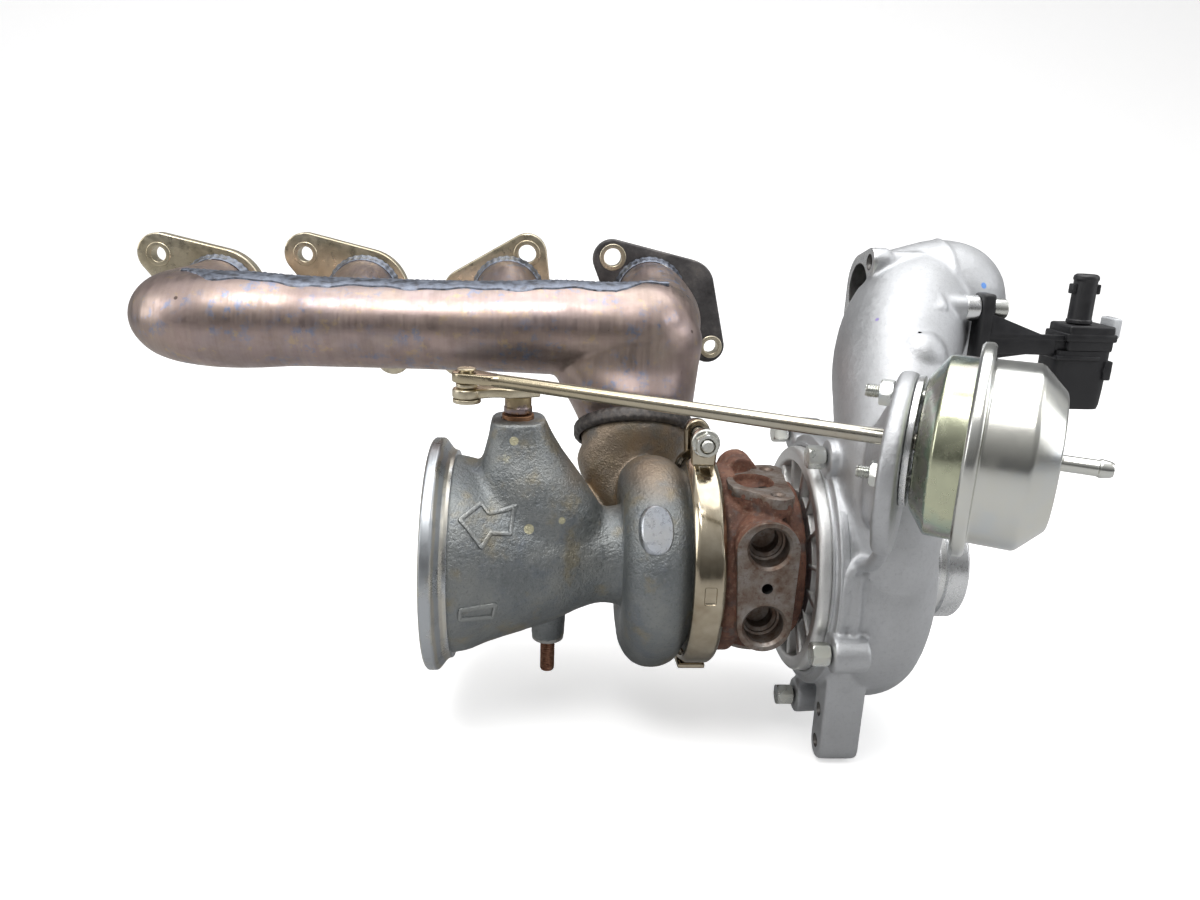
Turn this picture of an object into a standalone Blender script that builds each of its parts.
# Turbocharger with its welded exhaust manifold, wastegate actuator and boost switching valve.
# Frame: +X along the shaft from turbine to compressor, +Z up as installed, +Y towards the
# engine; "front" and "near" mean -Y, "rear" and "far" mean +Y. The pieces are laid out from
# the rotor axis at the middle of the bearing housing; the root empty at the end then puts the
# origin on DATUM. Dimensions are in millimetres and are turned into metres by MM.
import math

import bmesh
import bpy
from mathutils import Matrix, Vector

MM = 0.001
TAU = 2.0 * math.pi
AXIS_X = Vector((1, 0, 0))
DATUM = (-320.0, 155.0, 138.5)      # on the sealing face of port flange 1, above its port

# Segment counts
N_BIG = 20
N_MED = 14
N_SMALL = 12
N_TINY = 8

# ---- dimensions shared between sections -------------------------------------
# Round joint between the exhaust collector and the turbine inlet
COLLAR_CENTRE = Vector((-63.0, 64.0, 50.0))
COLLAR_TILT = math.radians(32.0)    # lean of the joint axis from +Z towards +Y
COLLAR_AXIS = Vector((0, math.sin(COLLAR_TILT), math.cos(COLLAR_TILT)))
COLLAR_ACROSS = Vector((0, math.cos(COLLAR_TILT), -math.sin(COLLAR_TILT)))
JOINT_R = 31.4                      # collector end and turbine neck, inside the collar

# Wastegate spindle, flap and lever pin
SPINDLE_X, SPINDLE_Y = -128.0, 0.0
FLAP_X = SPINDLE_X + 14.0           # flap centre when closed
FLAP_Z = 34.0
SWING = math.radians(30.0)          # the flap is drawn open by this angle
PIN_X, PIN_Y = -152.5, -8.0

TURBINE_FLANGE_R = 51.0             # flanges held by the V-band clamp
BACK_PLATE_R = 58.5
COVER_BOLTS = ((55.0, 70.0), (114.0, 69.0), (198.0, 69.0), (257.0, 74.0), (328.0, 69.0))
# columns of COVER_BOLTS: angle in degrees from +Y towards +Z, radius

# Wastegate actuator: its axis runs from the rod end through the gland
GLAND = Vector((22.0, -98.0, 92.0))
ROD_END = Vector((PIN_X, PIN_Y, 94.3))
ACT_DIR = (GLAND - ROD_END).normalized()
ACT_STUDS = [GLAND + Vector((0, 0, dz)) for dz in (18.0, -15.5)]

# Boost switching valve
VALVE_X = 94.9                      # face of its bracket
VALVE_Y = -4.0
VALVE_SCREW_Z = 133.5

# ---- colours ------------------------------------------------------------------
HEAT_STEEL = (0.33, 0.24, 0.21)
STRAW = (0.62, 0.54, 0.38)
CAST_STEEL = (0.30, 0.31, 0.30)
DARK_STEEL = (0.24, 0.23, 0.22)
WELD_BLACK = (0.16, 0.15, 0.15)
RUST = (0.28, 0.16, 0.11)
DARK_RUST = (0.20, 0.12, 0.09)
ALU = (0.72, 0.73, 0.74)
ALU_BRIGHT = (0.80, 0.81, 0.82)
ZINC = (0.66, 0.68, 0.66)
ZINC_YELLOW = (0.60, 0.62, 0.42)
BRONZE = (0.62, 0.42, 0.20)
STEEL = (0.55, 0.56, 0.57)
SPRING_STEEL = (0.35, 0.36, 0.38)
BAND_STEEL = (0.62, 0.58, 0.50)
BLACK = (0.03, 0.03, 0.032)
RUBBER = (0.04, 0.04, 0.04)
LIGHT_GREY = (0.75, 0.76, 0.76)

# ---- scene ----------------------------------------------------------------------
for old in list(bpy.data.objects):
    bpy.data.objects.remove(old, do_unlink=True)

PARTS = bpy.data.collections.new("turbocharger")
TOOLS = bpy.data.collections.new("turbocharger_cutters")
bpy.context.scene.collection.children.link(PARTS)
bpy.context.scene.collection.children.link(TOOLS)


# ---- materials --------------------------------------------------------------------
def metal(rgb, roughness, metallic=1.0):
    return rgb, metallic, roughness


def plastic(rgb, roughness):
    return rgb, 0.0, roughness


def material(name, rgb, metallic, roughness):
    mat = bpy.data.materials.new(name)
    mat.use_nodes = True
    shader = mat.node_tree.nodes["Principled BSDF"]
    shader.inputs["Base Color"].default_value = (*rgb, 1.0)
    shader.inputs["Metallic"].default_value = metallic
    shader.inputs["Roughness"].default_value = roughness
    mat.diffuse_color = (*rgb, 1.0)
    return mat


# ---- objects and frames -----------------------------------------------------------
def add_object(name, data, look=None, matrix=None, smooth=True):
    """A visible part when it has a look, otherwise a hidden boolean helper."""
    ob = bpy.data.objects.new(name, data)
    if look is None:
        TOOLS.objects.link(ob)
        ob.hide_render = True
        ob.display_type = 'WIRE'
    else:
        PARTS.objects.link(ob)
        data.materials.append(material(name + "_mat", *look))
    if matrix is not None:
        ob.matrix_world = matrix
    if smooth:
        for face in data.polygons:
            face.use_smooth = True
    return ob


def add_bmesh(name, bm, look=None, matrix=None, smooth=True):
    mesh = bpy.data.meshes.new(name)
    bm.to_mesh(mesh)
    bm.free()
    return add_object(name, mesh, look, matrix, smooth)


def frame(origin, z_dir, x_hint=(0, 0, 1)):
    """Matrix whose local Z points along z_dir, placed at origin (mm)."""
    z = Vector(z_dir).normalized()
    x = Vector(x_hint)
    x = x - z * x.dot(z)
    if x.length < 1e-6:
        x = AXIS_X - z * z.x
    x.normalize()
    matrix = Matrix((x, z.cross(x), z)).transposed().to_4x4()
    matrix.translation = Vector(origin) * MM
    return matrix


def upright(x, y):
    """Frame with local Z up, standing at x, y."""
    return frame((x, y, 0), (0, 0, 1), (1, 0, 0))


SHAFT = frame((0, 0, 0), (1, 0, 0), (0, 1, 0))
ACTUATOR = frame(GLAND, ACT_DIR)


def radial(angle):
    """Unit vector away from the shaft; the angle runs from +Y towards +Z."""
    return Vector((0, math.cos(angle), math.sin(angle)))


def tangent(angle):
    return Vector((0, -math.sin(angle), math.cos(angle)))


# ---- shapes ---------------------------------------------------------------------------
def revolve(name, profile, steps, matrix, look=None):
    """profile: (radius, height) points in mm, revolved about local Z by a Screw modifier."""
    points = [(r * MM, h * MM) for r, h in profile]
    area = sum(a[0] * b[1] - b[0] * a[1] for a, b in zip(points, points[1:] + points[:1]))
    if area > 0:
        points.reverse()
    axis_points = [i for i, point in enumerate(points) if abs(point[0]) < 1e-9]
    for i in axis_points:
        # start the open chain at an axis point whose previous point is also on the axis
        if abs(points[i - 1][0]) < 1e-9:
            points = points[i:] + points[:i]
            break
    count = len(points)
    edges = [(i, (i + 1) % count) for i in range(count - 1 if axis_points else count)]
    mesh = bpy.data.meshes.new(name)
    mesh.from_pydata([(r, 0.0, h) for r, h in points], edges, [])
    ob = add_object(name, mesh, look, matrix, smooth=False)
    screw = ob.modifiers.new("revolve", 'SCREW')
    screw.axis = 'Z'
    screw.angle = TAU
    screw.steps = steps
    screw.render_steps = steps
    screw.use_merge_vertices = True
    screw.merge_threshold = 1e-6
    screw.use_smooth_shade = True
    return ob


def loft(name, rings, look=None, closed=False, smooth=True):
    """Closed body through rings of points (mm)."""
    bm = bmesh.new()
    loops = [[bm.verts.new(Vector(p) * MM) for p in ring] for ring in rings]
    count = len(rings[0])
    for i in range(len(loops) if closed else len(loops) - 1):
        low, high = loops[i], loops[(i + 1) % len(loops)]
        for k in range(count):
            after = (k + 1) % count
            bm.faces.new((low[k], low[after], high[after], high[k]))
    if not closed:
        bm.faces.new(list(reversed(loops[0])))
        bm.faces.new(loops[-1])
    bmesh.ops.recalc_face_normals(bm, faces=bm.faces)
    return add_bmesh(name, bm, look, None, smooth)


def section(centre, u, v, half_u, half_v, count, power=2.0, phase=0.0):
    """Super-ellipse ring in the plane of u and v; phase is in segments."""
    centre, u, v = Vector(centre), Vector(u).normalized(), Vector(v).normalized()
    ring = []
    for k in range(count):
        angle = TAU * (k + phase) / count
        cos, sin = math.cos(angle), math.sin(angle)
        ring.append(centre + u * (half_u * math.copysign(abs(cos) ** (2.0 / power), cos))
                    + v * (half_v * math.copysign(abs(sin) ** (2.0 / power), sin)))
    return ring


def swept(name, path, count, up=(0, 0, 1), grow=0.0, ends=0.0):
    """Helper body along path: (point, half_u, half_v). grow offsets its surface outwards and
    ends lengthens it at both ends."""
    points = [Vector(station[0]) for station in path]
    last = len(points) - 1
    rings = []
    for i, (_, half_u, half_v) in enumerate(path):
        along = points[min(i + 1, last)] - points[max(i - 1, 0)]
        along.normalize()
        u = Vector(up).cross(along)
        u.normalize()
        centre = points[i].copy()
        if i == 0:
            centre -= along * ends
        if i == last:
            centre += along * ends
        rings.append(section(centre, u, along.cross(u), half_u + grow, half_v + grow, count))
    return loft(name, rings)


def stack(name, levels, count=16, power=3.0, look=None):
    """Body lofted upwards through rounded rectangles: (z, x0, x1, y0, y1[, power])."""
    rings = []
    for z, x0, x1, y0, y1, *own_power in levels:
        rings.append(section(((x0 + x1) / 2, (y0 + y1) / 2, z), (1, 0, 0), (0, 1, 0),
                             (x1 - x0) / 2, (y1 - y0) / 2, count,
                             own_power[0] if own_power else power, phase=0.5))
    return loft(name, rings, look, smooth=False)


def scroll(name, centre_x, half_width, inner_r, outer_radii, around, count, power):
    """Closed ring round the shaft. outer_radii: outer radius at +Y, +Z, -Y and -Z, eased
    from one to the next."""
    rings = []
    for i in range(around):
        turn = 4.0 * i / around
        quarter = int(turn)
        ease = turn - quarter
        ease = ease * ease * (3 - 2 * ease)
        start, end = outer_radii[quarter], outer_radii[(quarter + 1) % 4]
        outer_r = start + (end - start) * ease
        out = radial(TAU * i / around)
        rings.append(section(Vector((centre_x, 0, 0)) + out * ((outer_r + inner_r) / 2),
                             (1, 0, 0), out, half_width, (outer_r - inner_r) / 2, count, power))
    return loft(name, rings, closed=True)


def rod(name, start, end, radius, segments=N_SMALL, look=None):
    start, end = Vector(start), Vector(end)
    bm = bmesh.new()
    bmesh.ops.create_cone(bm, cap_ends=True, segments=segments, radius1=radius * MM,
                          radius2=radius * MM, depth=(end - start).length * MM)
    return add_bmesh(name, bm, look, frame((start + end) / 2, end - start))


def box(name, low, high, look=None, matrix=None, bevel=0.0):
    low, high = Vector(low), Vector(high)
    centre, size = (low + high) / 2, high - low
    bm = bmesh.new()
    bmesh.ops.create_cube(bm, size=1.0)
    for vert in bm.verts:
        vert.co = Vector([centre[i] + vert.co[i] * size[i] for i in range(3)]) * MM
    if bevel:
        bmesh.ops.bevel(bm, geom=list(bm.edges), offset=bevel * MM, segments=1,
                        profile=0.5, affect='EDGES')
    return add_bmesh(name, bm, look, matrix, smooth=False)


def prism(name, outline, start, end, look=None, x_hint=(1, 0, 0)):
    """Outline (mm, local XY of a frame whose Z runs start->end) extruded to end."""
    start = Vector(start)
    along = Vector(end) - start
    bm = bmesh.new()
    face = bm.faces.new([bm.verts.new((x * MM, y * MM, 0.0)) for x, y in outline])
    extruded = bmesh.ops.extrude_face_region(bm, geom=[face])
    for item in extruded["geom"]:
        if isinstance(item, bmesh.types.BMVert):
            item.co.z += along.length * MM
    bmesh.ops.recalc_face_normals(bm, faces=bm.faces)
    return add_bmesh(name, bm, look, frame(start, along, x_hint), smooth=False)


def hull(circles, count=16):
    """Convex outline round a set of circles (x, y, radius)."""
    points = []
    for x, y, radius in circles:
        for k in range(count):
            points.append((x + radius * math.cos(TAU * k / count),
                           y + radius * math.sin(TAU * k / count)))
    points = sorted(set((round(x, 4), round(y, 4)) for x, y in points))

    def turns_left(a, b, c):
        return (b[0] - a[0]) * (c[1] - a[1]) - (b[1] - a[1]) * (c[0] - a[0]) > 1e-6

    def half(ordered):
        chain = []
        for point in ordered:
            while len(chain) >= 2 and not turns_left(chain[-2], chain[-1], point):
                chain.pop()
            chain.append(point)
        return chain

    return half(points)[:-1] + half(reversed(points))[:-1]


def hexagon(across_flats):
    r = across_flats / math.sqrt(3.0)
    return [(r * math.cos(TAU * k / 6), r * math.sin(TAU * k / 6)) for k in range(6)]


def join(target, others, operation='UNION', solver='EXACT'):
    for other in others:
        boolean = target.modifiers.new(operation.lower() + "_" + other.name, 'BOOLEAN')
        boolean.operation = operation
        boolean.solver = solver
        boolean.object = other


def cut(target, others, solver='EXACT'):
    join(target, others, 'DIFFERENCE', solver)


# ================================================================ exhaust manifold
PORT_X = (-320.0, -230.0, -140.0, -50.0)   # cylinder pitch 90
PORT_Z0 = 113.0                            # height of port 1
PORT_SLOPE = 0.0255                        # rise of the port row per mm along X
FLANGE_FRONT_Y = 145.0
FLANGE_BACK_Y = FLANGE_FRONT_Y + 10.0
RUNNER_R = 20.0
RUNNER_STRAIGHT_Y = 138.0                  # from here on the runners are straight
RUNNER_END_Y = 152.5
SHELL_WALL = 2.2
LOG_Y, LOG_Z, LOG_R = 74.0, 106.0, 25.6
SEAM_Y = 80.0                              # front and rear shells meet here
SEAM_HALF_GAP = 0.15


def port_z(x):
    return PORT_Z0 + PORT_SLOPE * (x - PORT_X[0])


def runner_end(x):
    """Straight last stretch of a runner, as stations of a swept path."""
    return [((x, y, port_z(x)), RUNNER_R, RUNNER_R) for y in (RUNNER_STRAIGHT_Y, RUNNER_END_Y)]


# Runner 1, the log and runner 4: (centre, half width, half height)
LOG_PATH = runner_end(PORT_X[0])[::-1] + [
    ((-321, 120, 110), 23, 22),
    ((-322, 101, 107.5), 26.5, 24),
    ((-317, 84, 106.5), 30, 25),
    ((-298, 74.5, LOG_Z), 28, 25.4),
    ((-256, LOG_Y, LOG_Z), LOG_R, 25.0),
    ((-190, LOG_Y, LOG_Z), LOG_R, 24.2),
    ((-110, LOG_Y, LOG_Z + 0.5), LOG_R, 26),
    ((-78, LOG_Y + 1, LOG_Z), 26, 26),
    ((-58, 80, 106), 28, 27),
    ((-50, 98, 110), 26, 25),
    ((PORT_X[3], 120, port_z(PORT_X[3]) - 2), 22, 22),
] + runner_end(PORT_X[3])

# Collector from the log down to the collar: (centre, half X, half depth, tilt in radians)
COLLECTOR = (
    ((-66, 76, 118), 34, 20, 0.0),
    ((-68, 75, 104), 42, 25, 0.0),
    ((-70, 73.5, 88), 43, 27, 0.05),
    ((-68, 71, 76), 39, 29, 0.2),
    ((-65, 68, 64), 34.5, 31, 0.38),
)

# Per port: circles (x, z, radius) hulled with the port's own, stud holes (x, z, radius), look
STRAW_FLANGE = metal(STRAW, roughness=0.4)
FLANGES = (
    (((-355.6, 135.1, 13.0), (-290.0, 92.0, 12.0)),
     ((-355.6, 135.1, 4.6), (-290.0, 92.0, 4.6)), STRAW_FLANGE),
    (((-266.1, 138.0, 13.0), (-214.0, 74.0, 11.0)),
     ((-266.1, 138.0, 4.6), (-214.0, 74.0, 4.6)), STRAW_FLANGE),
    (((-128.3, 142.4, 12.5), (-172.0, 74.0, 11.0), (-167.0, 118.0, 14.0)),
     ((-128.3, 142.4, 5.6), (-172.0, 74.0, 4.6)), STRAW_FLANGE),
    (((-74.0, 140.5, 12.5), (-9.5, 87.0, 10.8), (-25.0, 125.0, 17.0)),
     ((-74.0, 142.0, 5.6), (-7.5, 86.5, 4.6)), metal(DARK_STEEL, roughness=0.4)),
)


def collector_rings(grow, ends):
    rings = []
    for centre, half_x, half_depth, tilt in COLLECTOR:
        across = Vector((0, math.cos(tilt), -math.sin(tilt)))
        rings.append(section(centre, (1, 0, 0), across, half_x + grow, half_depth + grow,
                             N_MED, 2.2))
    for height in (5.0, 1.0 - ends):
        rings.append(section(COLLAR_CENTRE + COLLAR_AXIS * height, (1, 0, 0), COLLAR_ACROSS,
                             JOINT_R + grow, JOINT_R + grow, N_MED))
    return rings


def manifold_solid(tag, grow, ends):
    """Log, collector and the two middle runners as one filled body."""
    body = swept("log_" + tag, LOG_PATH, N_MED, grow=grow, ends=ends)
    branches = [loft("down_" + tag, collector_rings(grow, ends))]
    for i in (1, 2):
        x = PORT_X[i]
        path = [((x, LOG_Y + 4, LOG_Z), 19.5, 19.5), ((x, 105, LOG_Z + 3), 20, 20)]
        branches.append(swept("stub%d_%s" % (i, tag), path + runner_end(x), N_MED,
                              grow=grow, ends=ends))
    join(body, branches)
    return body


def seam_region(name, front):
    """Everything in front of (or behind) the seam, as a long prism along X."""
    gap, far_y = (-SEAM_HALF_GAP, -200.0) if front else (SEAM_HALF_GAP, 400.0)
    outline = [(SEAM_Y + gap, 170.0), (SEAM_Y + gap, 86.0), (COLLAR_CENTRE.y + 2 + gap, 52.0),
               (44.0 + gap, 15.0), (far_y, 15.0), (far_y, 170.0)]   # y, z
    return loft(name, [[(x, y, z) for y, z in outline] for x in (-380, 20)], smooth=False)


def manifold_shells():
    """Two pressed shells: each is one side of the seam intersected with the hollow manifold."""
    manifold = manifold_solid("outer", grow=0.0, ends=0.0)
    cut(manifold, [manifold_solid("inner", grow=-SHELL_WALL, ends=4.0)])
    for side in ("front", "rear"):
        name = "exhaust_manifold_%s_shell" % side
        region = seam_region(name + "_region", side == "front")
        shell = add_object(name, region.data.copy(), metal(HEAT_STEEL, roughness=0.38))
        boolean = shell.modifiers.new("shell", 'BOOLEAN')
        boolean.operation = 'INTERSECT'
        boolean.solver = 'EXACT'
        boolean.object = manifold


def port_flanges():
    for number, (x, (circles, holes, look)) in enumerate(zip(PORT_X, FLANGES), 1):
        z = port_z(x)
        # seen along +Y the prism's local Y points down, so heights are negated
        outline = [(px, -pz) for px, pz in hull(circles + ((x, z, 27.0),))]
        flange = prism("port_flange_%d" % number, outline, (0, FLANGE_FRONT_Y, 0),
                       (0, FLANGE_BACK_Y, 0), look)
        cutters = [rod("port_bore_%d" % number, (x, FLANGE_FRONT_Y - 5, z),
                       (x, FLANGE_BACK_Y + 5, z), RUNNER_R + 0.7, N_MED)]
        for k, (hole_x, hole_z, radius) in enumerate(holes):
            cutters.append(rod("stud_hole_%d_%d" % (number, k),
                               (hole_x, FLANGE_FRONT_Y - 5, hole_z),
                               (hole_x, FLANGE_BACK_Y + 5, hole_z), radius, N_TINY))
        cut(flange, cutters)


def weld_collar():
    revolve("inlet_weld_collar", [(31.9, -4.5), (33.6, -4.5), (35.2, -2.5), (35.2, 1.5),
                                  (33.8, 4.0), (31.9, 4.0)],
            N_BIG, frame(COLLAR_CENTRE, COLLAR_AXIS, (1, 0, 0)),
            metal(WELD_BLACK, roughness=0.55))


# ================================================================ turbine housing
OUTLET_FACE_X = -171.0
OUTLET_RIM_R = 59.3
OUTLET_BORE_R = 47.0
TURBINE_SCROLL_X = -58.2
SUPPORT_STUD_X = -111.0

# Housing body: (radius, x)
TURBINE_PROFILE = [
    (0, OUTLET_FACE_X), (OUTLET_RIM_R - 0.8, OUTLET_FACE_X),
    (OUTLET_RIM_R, OUTLET_FACE_X + 0.8), (OUTLET_RIM_R, -165.3), (53.2, -160.5),
    (52.4, -154.5), (49.0, -150), (43.0, -137), (39.2, -124), (33.4, -107), (27.4, -94),
    (25.0, -80), (28, -70), (40, -52), (45, -43), (45, -39.8), (TURBINE_FLANGE_R, -39.8),
    (TURBINE_FLANGE_R, -35.8), (0, -35.8),
]
# Bore from the bearing side through the wheel to the outlet: (radius, x)
TURBINE_BORE = [
    (0, -34), (33.5, -34), (33.5, -40.2), (24.6, -40.2), (24.6, -51), (22, -57), (20.6, -66),
    (20.6, -90), (24, -103), (25, -114), (29, -124), (34, -137), (40, -148),
    (OUTLET_BORE_R - 1, -156), (OUTLET_BORE_R, -173), (0, -173),
]
# Lower neck from the inlet joint into the scroll: (centre, across, half X, half across, power)
NECK = (
    ((-66.5, 56.0, 35.0), (0, 0.90, -0.43), 29.5, 24, 2.2),
    ((-69.0, 51.0, 24.0), (0, 0.94, -0.33), 23.0, 20.5, 2.2),
    ((-64.5, 44.0, 12.0), (0, 0.98, -0.20), 18.5, 18, 2.2),
    ((-58.5, 38.5, -6.0), (0, 1.0, 0.0), 14, 15, 2.0),
)
# Bypass from the flap to the scroll: (centre, half width, half height)
BYPASS_PATH = [((FLAP_X, 9.0, FLAP_Z), 15.5, 15.5), ((-113, 24, 32), 15.0, 15.0),
               ((-107, 35, 21), 14, 14), ((-93, 42, 8), 14, 14), ((-74, 46, 1), 14, 14)]


def neck(tag, grow, over):
    """over lengthens the upper end beyond the joint."""
    rings = [section(COLLAR_CENTRE - COLLAR_AXIS * depth, (1, 0, 0), COLLAR_ACROSS,
                     radius + grow, radius + grow, N_MED)
             for depth, radius in ((0.6 - over, JOINT_R), (8, JOINT_R - 1))]
    for centre, across, half_x, half_across, power in NECK:
        rings.append(section(centre, (1, 0, 0), across, half_x + grow, half_across + grow,
                             N_MED, power))
    return loft("neck_" + tag, rings)


def turbine_housing():
    housing = revolve("turbine_housing", TURBINE_PROFILE, N_BIG, SHAFT,
                      metal(CAST_STEEL, roughness=0.6, metallic=0.9))
    wastegate_boss = stack("wastegate_boss", [
        (2, -144, -106, -29, 22, 2.0), (24, -148, -92, -31, 25, 2.0),
        (43, -147, -97.5, -26, 22, 2.3), (56, -144, -106, -20, 19, 2.6),
        (68, -141.5, -113, -16.5, 16, 3.0), (73.5, -141, -117, -16, 16, 3.5)])
    join(housing, [
        # gas enters the scroll on the far side, runs down, round the near side and up
        scroll("turbine_scroll", TURBINE_SCROLL_X, 17.2, 18.0, (58.0, 51.5, 54.0, 58.3),
               18, 10, 2.2),
        neck("outer", grow=0.0, over=0.0),
        wastegate_boss,
        swept("bypass_lump", BYPASS_PATH, 12),
        rod("stud_boss", (SUPPORT_STUD_X, 0, -28), (SUPPORT_STUD_X, 0, -48), 9.5),
    ])
    chamber = stack("wastegate_chamber", [
        (4, -142, -98, -24, 12.6), (24, -142, -98, -25, 12.6), (40, -141, -98.5, -21, 12.6),
        (49, -138, -109, -13, 11)], 12, 4.0)
    cut(housing, [
        revolve("turbine_bore", TURBINE_BORE, N_BIG, SHAFT),
        scroll("turbine_scroll_passage", TURBINE_SCROLL_X, 11.8, 27.0,
               (52.5, 40.0, 46.5, 52.0), 14, 6, 2.0),
        revolve("turbine_throat", [(20, -51.5), (34, -51.5), (34, -43.5), (20, -43.5)],
                N_MED, SHAFT),
        neck("bore", grow=-4.0, over=5.0),
        chamber,
        rod("flap_pocket", (FLAP_X, -4, FLAP_Z), (FLAP_X, 14.15, FLAP_Z), 13.8, N_MED),
        swept("bypass_bore", BYPASS_PATH, 12, grow=-6.0, ends=2.0),
        rod("spindle_bore", (SPINDLE_X, SPINDLE_Y, 40), (SPINDLE_X, SPINDLE_Y, 90), 8.3),
        rod("stud_bore", (SUPPORT_STUD_X, 0, -60), (SUPPORT_STUD_X, 0, -38), 4.3, N_TINY),
    ])


def support_stud():
    rod("support_stud", (SUPPORT_STUD_X, 0, -38.6), (SUPPORT_STUD_X, 0, -67), 3.9, N_TINY,
        metal(DARK_RUST, roughness=0.5))


# ================================================================ wastegate
# Flap centre from the spindle and flap normal: the closed pose turned open by the swing
REST_TURN = Matrix.Rotation(-SWING, 4, 'Z')
FLAP_NORMAL = REST_TURN @ Vector((0, 1, 0))
ARM_ROOT = Vector((SPINDLE_X, SPINDLE_Y, FLAP_Z))
FLAP_CENTRE = ARM_ROOT + REST_TURN @ Vector((FLAP_X - SPINDLE_X, 13.8, 0.0))


def wastegate_bushing():
    revolve("wastegate_bushing", [(5.6, 50.5), (7.9, 50.5), (7.9, 74.6), (5.6, 74.6)], N_SMALL,
            upright(SPINDLE_X, SPINDLE_Y), metal(BRONZE, roughness=0.45))


def wastegate_spindle():
    """Spindle with the inner arm that carries the flap."""
    spindle = revolve("wastegate_spindle",
                      [(0, 27.5), (6.5, 27.5), (6.5, 41), (5.2, 42.5), (5.2, 75.2), (7.0, 75.2),
                       (7.0, 83.6), (4.4, 83.6), (4.4, 90.5), (0, 90.5)],
                      N_SMALL, upright(SPINDLE_X, SPINDLE_Y), metal(STRAW, roughness=0.4))
    arm = FLAP_CENTRE - FLAP_NORMAL * 8.6 - ARM_ROOT
    half_height = Vector((0, 0, 4.5))
    join(spindle, [
        prism("wastegate_inner_arm", hull([(0, 0, 6.0), (arm.length, 0, 3.6)], 12),
              ARM_ROOT - half_height, ARM_ROOT + half_height, x_hint=arm),
        rod("wastegate_arm_boss", FLAP_CENTRE - FLAP_NORMAL * 12.0,
            FLAP_CENTRE - FLAP_NORMAL * 4.6, 6.0, N_TINY),
    ])
    cut(spindle, [rod("wastegate_arm_hole", FLAP_CENTRE - FLAP_NORMAL * 14.0, FLAP_CENTRE,
                      2.9, N_TINY)])


def wastegate_flap():
    revolve("wastegate_flap", [(0, 0), (10.0, 0), (10.8, -0.8), (10.8, -3.0), (9.6, -4.2),
                               (2.5, -4.2), (2.5, -14.0), (0, -14.0)],
            N_MED, frame(FLAP_CENTRE, FLAP_NORMAL), metal(CAST_STEEL, roughness=0.5))


def wastegate_lever():
    """Outer lever: dog-bone forging with a square hub end."""
    along = Vector((PIN_X - SPINDLE_X, PIN_Y - SPINDLE_Y, 0))
    reach = along.length
    side = [(-9.0, -8.5), (7.5, -8.5), (13, -5.0), (reach - 8, -5.0), (reach - 4.5, -5.4),
            (reach + 1.5, -6.4), (reach + 5.5, -4.0)]
    outline = side + [(reach + 7.0, 0.0)] + [(x, -y) for x, y in reversed(side)]
    lever = prism("wastegate_lever", outline, (SPINDLE_X, SPINDLE_Y, 84.0),
                  (SPINDLE_X, SPINDLE_Y, 88.6), metal(STRAW, roughness=0.42), along)
    cut(lever, [
        rod("lever_hub_hole", (SPINDLE_X, SPINDLE_Y, 80), (SPINDLE_X, SPINDLE_Y, 95), 4.7),
        rod("lever_pin_hole", (PIN_X, PIN_Y, 80), (PIN_X, PIN_Y, 95), 3.6, N_TINY),
    ])


def lever_pin():
    look = metal(STRAW, roughness=0.35)
    revolve("lever_pin", [(0, 81.4), (3.2, 81.4), (3.2, 89.0), (5.2, 89.0), (5.2, 91.2),
                          (3.2, 91.2), (3.2, 97.6), (4.6, 97.6), (4.6, 98.6), (0, 98.6)],
            N_TINY, upright(PIN_X, PIN_Y), look)
    revolve("lever_pin_washer", [(3.7, 81.6), (6.8, 81.6), (6.8, 83.6), (3.7, 83.6)], N_SMALL,
            upright(PIN_X, PIN_Y), look)


# ================================================================ rotor
# Blade stations from gap side to shaft end: (hub x, hub radius, tip x, tip radius, wrap in deg)
TURBINE_BLADE = ((-42.4, 12.0, -43.6, 23.6, 0), (-50, 7.6, -52, 22.2, 5),
                 (-66, 4.0, -66.5, 19.6, 38))
COMPRESSOR_BLADE = ((31.2, 25.5, 35.2, 26.6, 0), (38.0, 10.5, 41.5, 20.6, -10),
                    (52.0, 5.4, 52.5, 20.0, -48))
BRIGHT_STEEL = metal(STEEL, roughness=0.3)


def blades(name, stations, count, thickness):
    """Separate blade bodies, to be joined to a hub; each is thicker at its root."""
    bodies = []
    for i in range(count):
        rings = []
        for hub_x, hub_r, tip_x, tip_r, wrap in stations:
            angle = TAU * i / count + math.radians(wrap)
            out, side = radial(angle), tangent(angle)
            hub = Vector((hub_x, 0, 0)) + out * hub_r
            tip = Vector((tip_x, 0, 0)) + out * tip_r
            half_hub, half_tip = side * thickness * 0.8, side * thickness * 0.5
            rings.append([hub - half_hub, tip - half_tip, tip + half_tip, hub + half_hub])
        bodies.append(loft(name + "_%02d" % i, rings, smooth=False))
    return bodies


def turbine_wheel():
    wheel = revolve("turbine_wheel_shaft",
                    [(0, -70.5), (4.6, -70.5), (5.2, -68), (6.0, -60), (8.5, -50), (14, -43.2),
                     (14, -41.6), (8.2, -41.0), (8.2, -33.0), (5.0, -31.5), (5.0, 14.0),
                     (3.0, 15.0), (3.0, 58.0), (0, 58.0)],
                    N_SMALL, SHAFT, metal(STEEL, roughness=0.35))
    join(wheel, blades("turbine_blade", TURBINE_BLADE, count=9, thickness=1.1))


def compressor_wheel():
    wheel = revolve("compressor_wheel",
                    [(3.3, 30.4), (26.0, 30.4), (26.6, 31.6), (18, 34.0), (11.0, 39.5),
                     (7.5, 47.0), (6.2, 53.5), (3.3, 53.5)],
                    N_MED, SHAFT, metal(ALU_BRIGHT, roughness=0.3))
    join(wheel, blades("compressor_blade", COMPRESSOR_BLADE, count=8, thickness=0.8))


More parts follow.
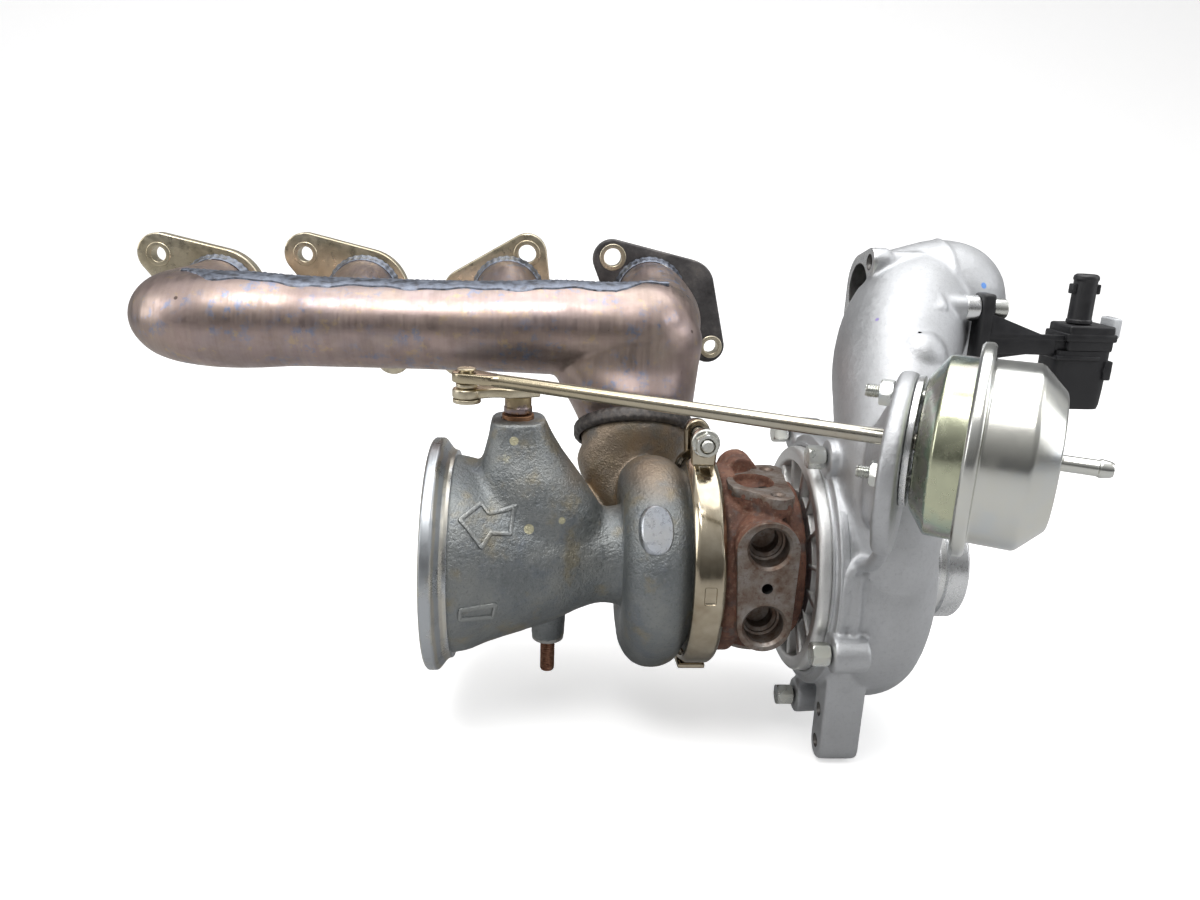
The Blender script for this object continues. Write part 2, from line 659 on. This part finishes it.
def shaft_fittings():
    """Lock nut, thrust collar and seal sleeve, all turning with the shaft."""
    nut = prism("compressor_lock_nut", hexagon(9.0), (53.9, 0, 0), (60.0, 0, 0), BRIGHT_STEEL,
                (0, 1, 0))
    cut(nut, [rod("nut_bore", (50, 0, 0), (65, 0, 0), 3.3, N_TINY)])
    revolve("thrust_collar", [(5.4, 5.6), (8.0, 5.6), (8.0, 8.0), (6.4, 8.0), (6.4, 10.4),
                              (8.0, 10.4), (8.0, 13.4), (5.4, 13.4)],
            N_SMALL, SHAFT, BRIGHT_STEEL)
    revolve("compressor_seal_sleeve", [(3.4, 15.4), (8.6, 15.4), (8.6, 24.0), (6.5, 26.0),
                                       (6.5, 30.0), (3.4, 30.0)],
            N_SMALL, SHAFT, BRIGHT_STEEL)


# ================================================================ bearing housing
BEARING_BORE_R = 10.0
COOLANT_FACE_Y = -51.0
COOLANT_PORTS = (("upper", -8.5, 24.5), ("lower", -8.0, -15.0))    # name, x, z
OIL_TAPS = (("a", -3.7, -37.7), ("b", 0.0, 3.2))                   # name, x, y

BEARING_PROFILE = [
    (0, -35.4), (TURBINE_FLANGE_R, -35.4), (TURBINE_FLANGE_R, -31.4), (46, -31.4),
    (44, -28.5), (48.6, -26.5), (48.6, -18.5), (43, -15.5), (38, -4), (40, 8.5), (40, 14.4),
    (0, 14.4),
]
BEARING_CORE = [
    (0, -40), (17.0, -40), (17.0, -33.6), (9.0, -33.6), (9.0, -27), (BEARING_BORE_R, -27),
    (BEARING_BORE_R, 1.0), (9.0, 1.2), (9.0, 5.0), (22.0, 5.0), (22.0, 16.0), (0, 16.0),
]
COOLANT_PORT_PROFILE = [(0, -3), (10.8, -3), (9.4, 1.5), (9.4, 11), (6.5, 13), (6.5, 19),
                        (0, 19)]


def bearing_housing():
    housing = revolve("bearing_housing", BEARING_PROFILE, N_BIG, SHAFT,
                      metal(RUST, roughness=0.7, metallic=0.7))
    (_, ax, ay), (_, bx, by) = OIL_TAPS
    join(housing, [
        # local Y of this outline points down
        prism("coolant_pad", hull([(-8.9, -22.6, 15.4), (-8.0, 15.2, 13.6)]),
              (0, COOLANT_FACE_Y, 0), (0, -20, 0)),
        stack("oil_pad", [(10, -22, 9, -34, 16), (36, -22, 7, -34, 12),
                          (44.2, -21, 5, -30, 8)], 14),
        prism("oil_pad_plate", hull([(ax, ay, 8.0), (bx, by, 8.6), (-14.6, -17.5, 10.2)], 10),
              (0, 0, 37.3), (0, 0, 47.0)),
        rod("coolant_boss_rear", (-13.2, 3.5, 42.7), (-13.2, 22.5, 42.7), 9.8, 13),
        rod("drain_pad", (-4, 0, -30), (-4, 0, -46), 17),
    ])
    cutters = [revolve("bearing_core", BEARING_CORE, N_MED, SHAFT)]
    for name, x, z in COOLANT_PORTS:
        cutters.append(revolve("coolant_port_" + name, COOLANT_PORT_PROFILE, N_SMALL,
                               frame((x, COOLANT_FACE_Y, z), (0, 1, 0))))
    cutters += [
        rod("coolant_pad_hole", (-8.3, -53, 4.5), (-8.3, -42, 4.5), 3.0, N_TINY),
        rod("oil_feed", (-8, -14, 50), (-8, -14, 15), 5.0, 10),
        rod("oil_feed_cross", (-8.9, -16.5, 17.2), (-8.3, 0.4, 12), 3.4, 7),
        stack("oil_recess", [(z, -20.0, -1.9, -27.4, -5.6) for z in (43.4, 49.0)], 15, 2.0),
    ]
    for name, x, y in OIL_TAPS:
        cutters.append(rod("oil_pad_hole_" + name, (x, y, 50), (x, y, 38.4), 3.0, N_TINY))
    cutters.append(rod("oil_drain", (-4, 0, -50), (-4, 0, -5), 7.5))
    cut(housing, cutters)


def bearing_internals():
    bronze = metal(BRONZE, roughness=0.35)
    steel = metal(STEEL, roughness=0.4)
    revolve("journal_bearing", [(5.3, -26.0), (9.7, -26.0), (9.7, 0.4), (5.3, 0.4)], N_MED,
            SHAFT, bronze)
    revolve("thrust_bearing", [(6.9, 8.3), (21.6, 8.3), (21.6, 10.1), (6.9, 10.1)], N_MED,
            SHAFT, bronze)
    revolve("oil_deflector", [(8.9, 11.0), (21.6, 11.0), (21.6, 13.8), (20.6, 13.8),
                              (20.6, 12.0), (8.9, 12.0)], N_MED, SHAFT, steel)
    revolve("heat_shield", [(15.2, -39.9), (32.8, -39.9), (33.1, -39.6), (33.1, -35.7),
                            (32.2, -35.7), (32.2, -39.0), (15.2, -39.0)],
            N_BIG, SHAFT, metal(STEEL, roughness=0.5))
    revolve("turbine_piston_ring", [(8.4, -31.6), (8.85, -31.6), (8.85, -29.8), (8.4, -29.8)],
            N_MED, SHAFT, steel)


# ================================================================ V-band clamp
CLAMP_CENTRE = Vector((-35.6, 0, 0))
CLAMP_OUTER_R = 55.2
T_BOLT_DEG = 88.0                   # angles from +Y towards +Z
HINGE_DEG = 262.0
T_BOLT_R = 64.3
BOLT_OUT = radial(math.radians(T_BOLT_DEG))
BOLT_DIR = tangent(math.radians(T_BOLT_DEG))    # towards the near side
BOLT_CENTRE = CLAMP_CENTRE + BOLT_OUT * T_BOLT_R

# V-shaped section: (x, radius)
BAND_SECTION = [
    (-43.2, 51.3), (-41.8, 51.3), (-40.1, 48.8), (-40.1, 51.5), (-31.1, 51.5), (-31.1, 48.8),
    (-29.4, 51.3), (-28.1, 51.3), (-28.1, 53.0), (-30.4, CLAMP_OUTER_R),
    (-40.8, CLAMP_OUTER_R), (-43.2, 53.0),
]


def clamp_band(name, start_deg, end_deg):
    steps = int((end_deg - start_deg) / 13)
    rings = []
    for i in range(steps + 1):
        out = radial(math.radians(start_deg + (end_deg - start_deg) * i / steps))
        rings.append([Vector((x, 0, 0)) + out * r for x, r in BAND_SECTION])
    return loft(name, rings, metal(BAND_STEEL, roughness=0.25))


def clamp_bands():
    """Front and rear half bands, each with a strap standing up at its end for the T-bolt."""
    front = clamp_band("clamp_band_front", T_BOLT_DEG + 7.5, HINGE_DEG - 2.5)
    rear = clamp_band("clamp_band_rear", HINGE_DEG + 2.5 - 360.0, T_BOLT_DEG - 7.5)
    strap = hull([(T_BOLT_R, 0, 6.6), (53.5, 4.4, 1.6), (53.5, -4.4, 1.6)], 12)
    hole = rod("clamp_bolt_hole", BOLT_CENTRE - BOLT_DIR * 60, BOLT_CENTRE + BOLT_DIR * 60,
               3.6, N_TINY)
    for tag, band, start, end in (("front", front, 8.5, 15.0), ("rear", rear, -15.0, -8.5)):
        join(band, [prism("clamp_loop_" + tag, strap, CLAMP_CENTRE + BOLT_DIR * start,
                          CLAMP_CENTRE + BOLT_DIR * end, x_hint=BOLT_OUT)])
        cut(band, [hole])


def clamp_t_bolt():
    look = metal(ZINC, roughness=0.3)
    bolt = rod("clamp_t_bolt", BOLT_CENTRE - BOLT_DIR * 18, BOLT_CENTRE + BOLT_DIR * 24.5,
               3.1, N_TINY, look)
    join(bolt, [prism("clamp_t_bolt_head", hull([(0, 0, 5.4)], 12), BOLT_CENTRE - BOLT_DIR * 20,
                      BOLT_CENTRE - BOLT_DIR * 15.4)])
    nut = prism("clamp_nut", hexagon(10.5), BOLT_CENTRE + BOLT_DIR * 16.4,
                BOLT_CENTRE + BOLT_DIR * 22.6, look)
    join(nut, [rod("clamp_nut_flange", BOLT_CENTRE + BOLT_DIR * 15.4,
                   BOLT_CENTRE + BOLT_DIR * 17.4, 7.2)])
    cut(nut, [rod("clamp_nut_bore", BOLT_CENTRE + BOLT_DIR * 12, BOLT_CENTRE + BOLT_DIR * 30,
                  3.5, N_TINY)])


def clamp_hinge():
    """Plate across the lower ends of both half bands."""
    out = radial(math.radians(HINGE_DEG))
    box("clamp_hinge_link", (-7.2, -9.0, 0.3), (7.2, 9.0, 3.4), metal(BAND_STEEL, roughness=0.3),
        frame(CLAMP_CENTRE + out * 55.6, out, (1, 0, 0)), bevel=0.8)


# ================================================================ compressor back plate
BACK_PLATE_PROFILE = [
    (23.5, 15.0), (36, 17.0), (36.0, 20.4), (50.0, 21.0), (51.5, 15.0), (56.5, 15.0),
    (BACK_PLATE_R, 16.0), (BACK_PLATE_R, 21.0), (52.0, 21.0), (52.0, 23.4), (49.6, 23.4),
    (49.6, 26.0), (52.0, 26.0), (52.0, 28.6), (27.5, 28.6), (27.5, 29.6), (9.2, 29.6),
    (9.2, 16.0), (20.5, 16.0), (20.5, 14.9),
]
RIB_COUNT = 12
RIB_START_DEG = 8.0


def back_plate():
    plate = revolve("compressor_back_plate", BACK_PLATE_PROFILE, N_BIG, SHAFT,
                    metal(ALU, roughness=0.45, metallic=0.9))
    ribs = []
    for k in range(RIB_COUNT):
        out = radial(math.radians(360.0 * k / RIB_COUNT + RIB_START_DEG))
        # local X runs outwards, local Z along the shaft
        ribs.append(box("back_plate_rib_%02d" % k, (34.5, -1.4, 16.2), (52.2, 1.4, 20.9),
                        matrix=frame((0, 0, 0), (1, 0, 0), out)))
    join(plate, ribs)


def back_plate_o_ring():
    revolve("back_plate_o_ring", [(50.0, 23.7), (52.3, 23.7), (52.3, 25.7), (50.0, 25.7)],
            N_BIG, SHAFT, plastic(RUBBER, roughness=0.6))


def cover_bolt_places():
    """(number, centre in the plane x = 0) of each bolt."""
    return [(number, radial(math.radians(angle)) * radius)
            for number, (angle, radius) in enumerate(COVER_BOLTS, 1)]


def cover_bolts():
    for number, centre in cover_bolt_places():
        bolt = prism("cover_bolt_%d" % number, hexagon(10.0), centre + AXIS_X * 11.0,
                     centre + AXIS_X * 17.9, metal(ZINC, roughness=0.3), (0, 1, 0))
        join(bolt, [
            rod("cover_bolt_washer_%d" % number, centre + AXIS_X * 17.5,
                centre + AXIS_X * 19.5, 9.4),
            rod("cover_bolt_shank_%d" % number, centre + AXIS_X * 18.9,
                centre + AXIS_X * 32.0, 2.9, N_TINY),
        ])


# ================================================================ compressor housing
INLET_END_X = 99.6
INLET_R = 30.5
COVER_SCROLL_X = 50.5
OUTLET_X = 50.0                     # face of the outlet flange
OUTLET_YZ = (38.0, 137.0)
LUGS = ((25.0, 152.0), (49.5, 113.5))    # y, z of the outlet lugs
FOOT_Y = -42.0

# Cover body: (radius, x)
COVER_PROFILE = [
    (0, 20.1), (60.8, 20.1), (60.8, 21.9), (64.5, 22.6), (64.5, 33), (40, 68), (33, 74),
    (INLET_R, 78), (INLET_R, 84.4), (29.0, 85.0), (29.0, 88.0), (INLET_R, 88.6),
    (INLET_R, 98.8), (INLET_R - 0.9, INLET_END_X), (0, INLET_END_X),
]
COVER_BORE = [
    (0, 5.0), (BACK_PLATE_R + 0.5, 5.0), (BACK_PLATE_R + 0.5, 21.5), (52.6, 21.5),
    (52.6, 29.0), (47.0, 29.0), (47.0, 35.4), (27.2, 35.4), (22.0, 41.0), (20.7, 50.0),
    (20.7, 60.0), (25.5, 76.0), (26.5, 103.0), (0, 103.0),
]
# Duct from the scroll's near side up to the dome: (centre, half widths)
DUCT_PATH = [
    ((50, -44, 2), 21, 21), ((50, -44, 30), 25, 23), ((51, -36, 58), 30, 26),
    ((54, -20, 84), 33, 28), ((60, 2, 106), 34, 30), ((72, 22, 122), 33, 31),
    ((86, 36, 132), 29, 29),
]
# Outlet dome: (x, y and z offset from the outlet centre, radius)
DOME = (
    (OUTLET_X, 0, 0, 17.5), (60, 0, 0, 19.5), (72, 0, -3, 26), (86, -1, -5, 31.5),
    (100, -1, -6, 32.0), (112, -1, -6, 27.5), (121, -1, -6, 18), (124.5, -1, -6, 7),
)
DOME_BORE = DOME[:1] + DOME[2:6]


def dome(tag, stations, grow=0.0, over=0.0):
    """over lengthens the end at the outlet flange."""
    rings = []
    for i, (x, dy, dz, radius) in enumerate(stations):
        centre = (x if i else x - over, OUTLET_YZ[0] + dy, OUTLET_YZ[1] + dz)
        rings.append(section(centre, (0, 1, 0), (0, 0, 1), radius + grow, radius + grow, 14))
    return loft("dome_" + tag, rings)


def actuator_bracket():
    """Round face plate on the actuator axis and the web that carries it."""
    plate = GLAND + Vector((0, 0, -10.0))
    disc = rod("bracket_disc", plate, plate + ACT_DIR * 7.5, 37.0, 24)
    web = loft("bracket_web", [
        section(plate + ACT_DIR * 4.3 + Vector((2, 4, -4)), ACT_DIR, (0, 0, 1), 3.3, 29, 12, 3.0),
        section((31, -77, 74), (0.92, -0.4, 0), (0, 0, 1), 4.8, 28, 12, 3.0),
        section((42, -50, 60), (1, 0, 0), (0, 0, 1), 11, 28, 12, 3.0),
    ])
    return [disc, web]


def cover_additions():
    bodies = [scroll("cover_scroll", COVER_SCROLL_X, 24.0, 16.0, (62.0, 70.0, 67.0, 72.0),
                     18, 10, 2.4)]
    for number, centre in cover_bolt_places():
        bodies.append(rod("cover_boss_%d" % number, centre + AXIS_X * 19.9,
                          centre + AXIS_X * 37.0, 9.0, N_TINY))
    lug_outline = hull([(y, z, 7.5) for y, z in LUGS] + [(*OUTLET_YZ, 18.6)])
    long_y, long_z = LUGS[0][0] + 0.5, LUGS[0][1] - 0.8
    bodies += [
        swept("duct_outer", DUCT_PATH, 14, (1, 0, 0)),
        dome("outer", DOME),
        prism("outlet_lugs", lug_outline, (OUTLET_X - 0.8, 0, 0), (OUTLET_X + 8.0, 0, 0),
              x_hint=(0, 1, 0)),
        rod("outlet_lug_long", (OUTLET_X + 3.3, long_y, long_z),
            (OUTLET_X + 35.7, long_y, long_z), 6.5, 10),
        *actuator_bracket(),
        prism("foot_leg", hull([(FOOT_Y, z, 8.5) for z in (-84.0, -50.0, -30.0)], 12),
              (26.0, 0, 0), (46.5, 0, 0), x_hint=(0, 1, 0)),
        rod("valve_boss", (60, VALVE_Y, VALVE_SCREW_Z), (94.6, VALVE_Y, VALVE_SCREW_Z), 6.2, 10),
    ]
    return bodies


def cover_cutters():
    cutters = [
        revolve("cover_bore", COVER_BORE, N_BIG, SHAFT),
        scroll("cover_scroll_passage", COVER_SCROLL_X, 15.0, 33.0, (52.0, 59.0, 58.0, 63.0),
               14, 6, 2.0),
        revolve("cover_diffuser_slot", [(39.0, 30.0), (48.2, 30.0), (48.2, 43.0),
                                        (42.0, 43.0)], 17, SHAFT),
        swept("duct_bore", DUCT_PATH, 14, (1, 0, 0), grow=-7.5),
        dome("bore", DOME_BORE, grow=-4.5, over=3.0),
    ]
    for number, centre in cover_bolt_places():
        cutters.append(rod("cover_tap_%d" % number, centre + AXIS_X * 14.5,
                           centre + AXIS_X * 33.0, 3.3, N_TINY))
    for k, (y, z) in enumerate(LUGS):
        cutters.append(rod("outlet_tap_%d" % k, (OUTLET_X - 3, y, z), (OUTLET_X + 7, y, z),
                           3.2, N_TINY))
    for k, z in enumerate((-65.0, -83.0)):
        cutters.append(rod("foot_hole_%d" % k, (22, FOOT_Y, z), (40, FOOT_Y, z), 2.8, N_TINY))
    cutters.append(rod("gland_hole", GLAND - ACT_DIR * 10, GLAND + ACT_DIR * 30, 8.0))
    for k, stud in enumerate(ACT_STUDS):
        cutters.append(rod("bracket_hole_%d" % k, stud - ACT_DIR * 10, stud + ACT_DIR * 12,
                           3.1, N_TINY))
    cutters.append(rod("valve_tap", (98, VALVE_Y, VALVE_SCREW_Z), (86, VALVE_Y, VALVE_SCREW_Z),
                       2.6, N_TINY))
    return cutters


def compressor_housing():
    cover = revolve("compressor_housing", COVER_PROFILE, N_BIG, SHAFT,
                    metal(ALU, roughness=0.42, metallic=0.9))
    # the exact solver leaves slivers where lugs graze the facets of the dome
    join(cover, cover_additions(), solver='MANIFOLD')
    cut(cover, cover_cutters(), solver='MANIFOLD')
    # closes slivers left where cutters graze facets
    weld = cover.modifiers.new("weld", 'WELD')
    weld.merge_threshold = 1e-5


# ================================================================ wastegate actuator
# Heights along the actuator axis, from the gland
CAN_START = 11.6
CAN_SHOULDER = 50.3
CAN_END = 60.0
NIPPLE_END = 79.0
CRIMP = 31.2
DIAPHRAGM = CRIMP + 0.2
ROD_R = 3.25

FRONT_CAN = [
    (5.2, CAN_START), (26.0, CAN_START), (35.3, CAN_START + 6.7), (35.3, CRIMP - 1.2),
    (39.2, CRIMP - 1.2), (39.2, CRIMP - 0.2), (34.3, CRIMP - 0.2), (34.3, CAN_START + 7.3),
    (25.6, CAN_START + 1.1), (5.2, CAN_START + 1.1),
]
REAR_CAN = [
    (3.4, CAN_END), (26.0, CAN_END), (35.4, CAN_SHOULDER), (35.4, CRIMP + 2.6),
    (40.4, CRIMP + 2.6), (41.4, CRIMP + 1.6), (41.4, CRIMP - 1.9), (40.4, CRIMP - 2.7),
    (39.6, CRIMP - 2.7), (39.6, CRIMP + 1.5), (34.4, CRIMP + 1.5), (34.4, CAN_SHOULDER - 0.5),
    (25.5, CAN_END - 1.1), (3.4, CAN_END - 1.1),
]
DIAPHRAGM_PROFILE = [
    (38.9, DIAPHRAGM), (38.9, DIAPHRAGM + 1.0), (32.6, DIAPHRAGM + 1.0),
    (30.5, DIAPHRAGM - 4.2), (27.5, DIAPHRAGM - 4.2), (25.5, DIAPHRAGM + 1.0),
    (24.5, DIAPHRAGM + 1.0), (24.5, DIAPHRAGM), (24.9, DIAPHRAGM), (26.8, DIAPHRAGM - 5.2),
    (31.2, DIAPHRAGM - 5.2), (33.4, DIAPHRAGM),
]
NIPPLE = [
    (1.6, CAN_END - 3.2), (4.4, CAN_END - 3.2), (4.4, CAN_END - 1.4), (3.1, CAN_END - 1.4),
    (3.1, NIPPLE_END - 5.6), (3.5, NIPPLE_END - 4.6), (3.0, NIPPLE_END - 1.1),
    (2.2, NIPPLE_END), (1.6, NIPPLE_END),
]
PISTON = [
    (ROD_R + 0.3, 21.5), (21.0, 21.5), (23.5, 23.0), (23.5, 30.0), (22.5, 30.0), (22.5, 23.6),
    (20.6, 22.6), (ROD_R + 0.3, 22.6),
]


def actuator_can():
    for name, profile, steps, look in (
            ("front_can", FRONT_CAN, N_BIG, metal(ZINC_YELLOW, roughness=0.3)),
            ("rear_can", REAR_CAN, N_BIG, metal(ZINC, roughness=0.28)),
            ("diaphragm", DIAPHRAGM_PROFILE, N_MED, plastic(RUBBER, roughness=0.6)),
            ("nipple", NIPPLE, N_TINY, metal(ZINC, roughness=0.25)),
            ("piston", PISTON, N_MED, metal(ZINC, roughness=0.35))):
        revolve("actuator_" + name, profile, steps, ACTUATOR, look)


def actuator_mounting():
    """Studs and nuts through the bracket, and the spacer behind it."""
    for number, stud in enumerate(ACT_STUDS, 1):
        rod("actuator_stud_%d" % number, stud - ACT_DIR * 11.0,
            stud + ACT_DIR * (CAN_START - 0.4), 2.8, N_TINY, metal(ZINC, roughness=0.35))
        nut = prism("actuator_nut_%d" % number, hexagon(9.6), stud - ACT_DIR * 5.4,
                    stud - ACT_DIR * 0.4, metal(ZINC, roughness=0.3), (0, 0, 1))
        cut(nut, [rod("actuator_nut_bore_%d" % number, stud - ACT_DIR * 10,
                      stud + ACT_DIR * 5, 3.15, N_TINY)])
    spacer = revolve("actuator_spacer", [(12.0, 7.9), (26.0, 7.9), (26.0, 10.4), (12.0, 10.4)],
                     N_MED, ACTUATOR, metal(ALU, roughness=0.4, metallic=0.9))
    cut(spacer, [rod("spacer_hole_%d" % k, stud, stud + ACT_DIR * 14, 3.2, N_TINY)
                 for k, stud in enumerate(ACT_STUDS)])


def actuator_rod():
    """Rod with a flattened eye at the lever end."""
    body = rod("actuator_rod", ROD_END + ACT_DIR * 14.0, GLAND + ACT_DIR * 27.5, ROD_R, N_TINY,
               metal(STRAW, roughness=0.25))
    join(body, [prism("rod_flat_eye", hull([(0, 0, 7.2), (13.0, 0, 4.6), (19.0, 0, 3.2)]),
                      ROD_END + Vector((0, 0, -2.6)), ROD_END + Vector((0, 0, 2.4)),
                      x_hint=(ACT_DIR.x, ACT_DIR.y, 0))])
    half_hole = Vector((0, 0, 8))
    cut(body, [rod("rod_eye_hole", ROD_END - half_hole, ROD_END + half_hole, 3.6, N_TINY)])


def actuator_spring():
    """Return spring between the piston and the end of the rear can."""
    coil_r, wire_r = 16.0, 1.3
    turns, steps_per_turn = 4.5, 9
    low, high = 24.6, CAN_END - 4.9
    coil = bpy.data.curves.new("actuator_spring", 'CURVE')
    coil.dimensions = '3D'
    coil.bevel_depth = wire_r * MM
    coil.bevel_resolution = 1
    coil.use_fill_caps = True
    line = coil.splines.new('POLY')
    steps = int(turns * steps_per_turn)
    line.points.add(steps)
    for i in range(steps + 1):
        angle = TAU * i / steps_per_turn
        height = low + (high - low) * i / steps
        line.points[i].co = (coil_r * math.cos(angle) * MM, coil_r * math.sin(angle) * MM,
                             height * MM, 1.0)
    add_object("actuator_spring", coil, metal(SPRING_STEEL, roughness=0.3), ACTUATOR,
               smooth=False)


# ================================================================ boost switching valve
VALVE_ARM_X = 132.0                 # the arm's narrower end begins here
HOSE_PORT_X = 147.5
VALVE_LOOK = plastic(BLACK, roughness=0.4)


def valve_bracket():
    y = VALVE_Y
    bracket = box("switch_valve_bracket", (VALVE_X, y - 7.0, 108.0), (VALVE_X + 6.5, 0.4, 141.0),
                  plastic(BLACK, roughness=0.45), bevel=0.8)
    # local Y of the gusset outline points down
    gusset = [(VALVE_X + 6, -120.0), (VALVE_X + 6, -131.0), (VALVE_ARM_X, -120.0)]
    join(bracket, [
        box("valve_arm", (VALVE_X + 5, y - 7.0, 111.0), (134.2, y + 7.0, 121.0), bevel=0.6),
        box("valve_arm_end", (VALVE_ARM_X, y - 6.5, 114.6), (142.0, y + 6.5, 120.7), bevel=0.4),
        prism("valve_gusset", gusset, (0, y - 6.9, 0), (0, y - 5.6, 0)),
        box("valve_base", (139.0, y - 9.0, 114.6), (162.0, y + 11.0, 127.5), bevel=1.0),
    ])
    cut(bracket, [
        rod("valve_screw_hole", (90, y, VALVE_SCREW_Z), (110, y, VALVE_SCREW_Z), 3.2, N_TINY),
        rod("valve_port_hole", (HOSE_PORT_X, y, 135), (HOSE_PORT_X, y, 118), 5.2, N_TINY),
    ])


def valve_body():
    y0, y1 = VALVE_Y - 9, VALVE_Y + 11
    stack("switch_valve_body", [
        (85.5, 137, 160, y0 + 2, y1 - 2), (87.5, 134.5, 162.5, y0, y1),
        (114.3, 134.5, 162.5, y0, y1)], 16, 4.0, VALVE_LOOK)
    revolve("switch_valve_hose_port",
            [(2.6, 119.0), (4.3, 119.0), (4.3, 127.8), (5.6, 127.8), (5.6, 150.4), (4.3, 151.6),
             (4.3, 135.0), (2.6, 135.0)],
            N_SMALL, upright(HOSE_PORT_X, VALVE_Y), VALVE_LOOK)
    box("switch_valve_plug_socket", (162.4, VALVE_Y - 6.0, 121.0), (166.5, VALVE_Y + 7.0, 131.0),
        plastic(LIGHT_GREY, roughness=0.3), bevel=0.8)


def valve_screw():
    centre = Vector((VALVE_X, VALVE_Y, VALVE_SCREW_Z))
    screw = rod("switch_valve_screw", centre + AXIS_X * 6.9, centre + AXIS_X * 14, 5.0,
                look=metal(ZINC, roughness=0.3))
    join(screw, [rod("valve_screw_shank", centre + AXIS_X * 10, centre - AXIS_X * 6, 2.3,
                     N_TINY)])


# ================================================================ joint axes and root
def on_axis(name, point, children, parent=None):
    """Empty standing on a joint's axis; its children keep their place in the world."""
    empty = bpy.data.objects.new(name, None)
    empty.empty_display_type = 'ARROWS'
    empty.empty_display_size = 0.02
    empty.location = Vector(point) * MM
    PARTS.objects.link(empty)
    if parent is not None:
        empty.parent = parent
        empty.matrix_parent_inverse = Matrix.Translation(-parent.location)
    for child in children:
        ob = bpy.data.objects[child]
        ob.parent = empty
        ob.matrix_parent_inverse = Matrix.Translation(-empty.location)
    return empty


def joint_axes():
    on_axis("rotor_axis", (0, 0, 0),
            ("turbine_wheel_shaft", "compressor_wheel", "compressor_lock_nut", "thrust_collar",
             "compressor_seal_sleeve"))
    swing_axis = on_axis("wastegate_axis", (SPINDLE_X, SPINDLE_Y, 85.0),
                         ("wastegate_spindle", "wastegate_flap", "wastegate_lever",
                          "lever_pin", "lever_pin_washer"))
    on_axis("rod_pivot_axis", ROD_END, ("actuator_rod", "actuator_piston"), swing_axis)


def root_empty():
    """Everything hangs from one empty that brings DATUM to the origin."""
    root = bpy.data.objects.new("turbocharger_root", None)
    root.empty_display_size = 0.05
    root.location = Vector(DATUM) * -MM
    PARTS.objects.link(root)
    for ob in list(PARTS.objects) + list(TOOLS.objects):
        if ob.parent is None and ob is not root:
            ob.parent = root


for build in (
        manifold_shells, port_flanges, weld_collar,
        turbine_housing, support_stud,
        wastegate_bushing, wastegate_spindle, wastegate_flap, wastegate_lever, lever_pin,
        turbine_wheel, compressor_wheel, shaft_fittings,
        bearing_housing, bearing_internals,
        clamp_bands, clamp_t_bolt, clamp_hinge,
        back_plate, back_plate_o_ring, cover_bolts, compressor_housing,
        actuator_can, actuator_mounting, actuator_rod, actuator_spring,
        valve_bracket, valve_body, valve_screw,
        joint_axes, root_empty):
    build()
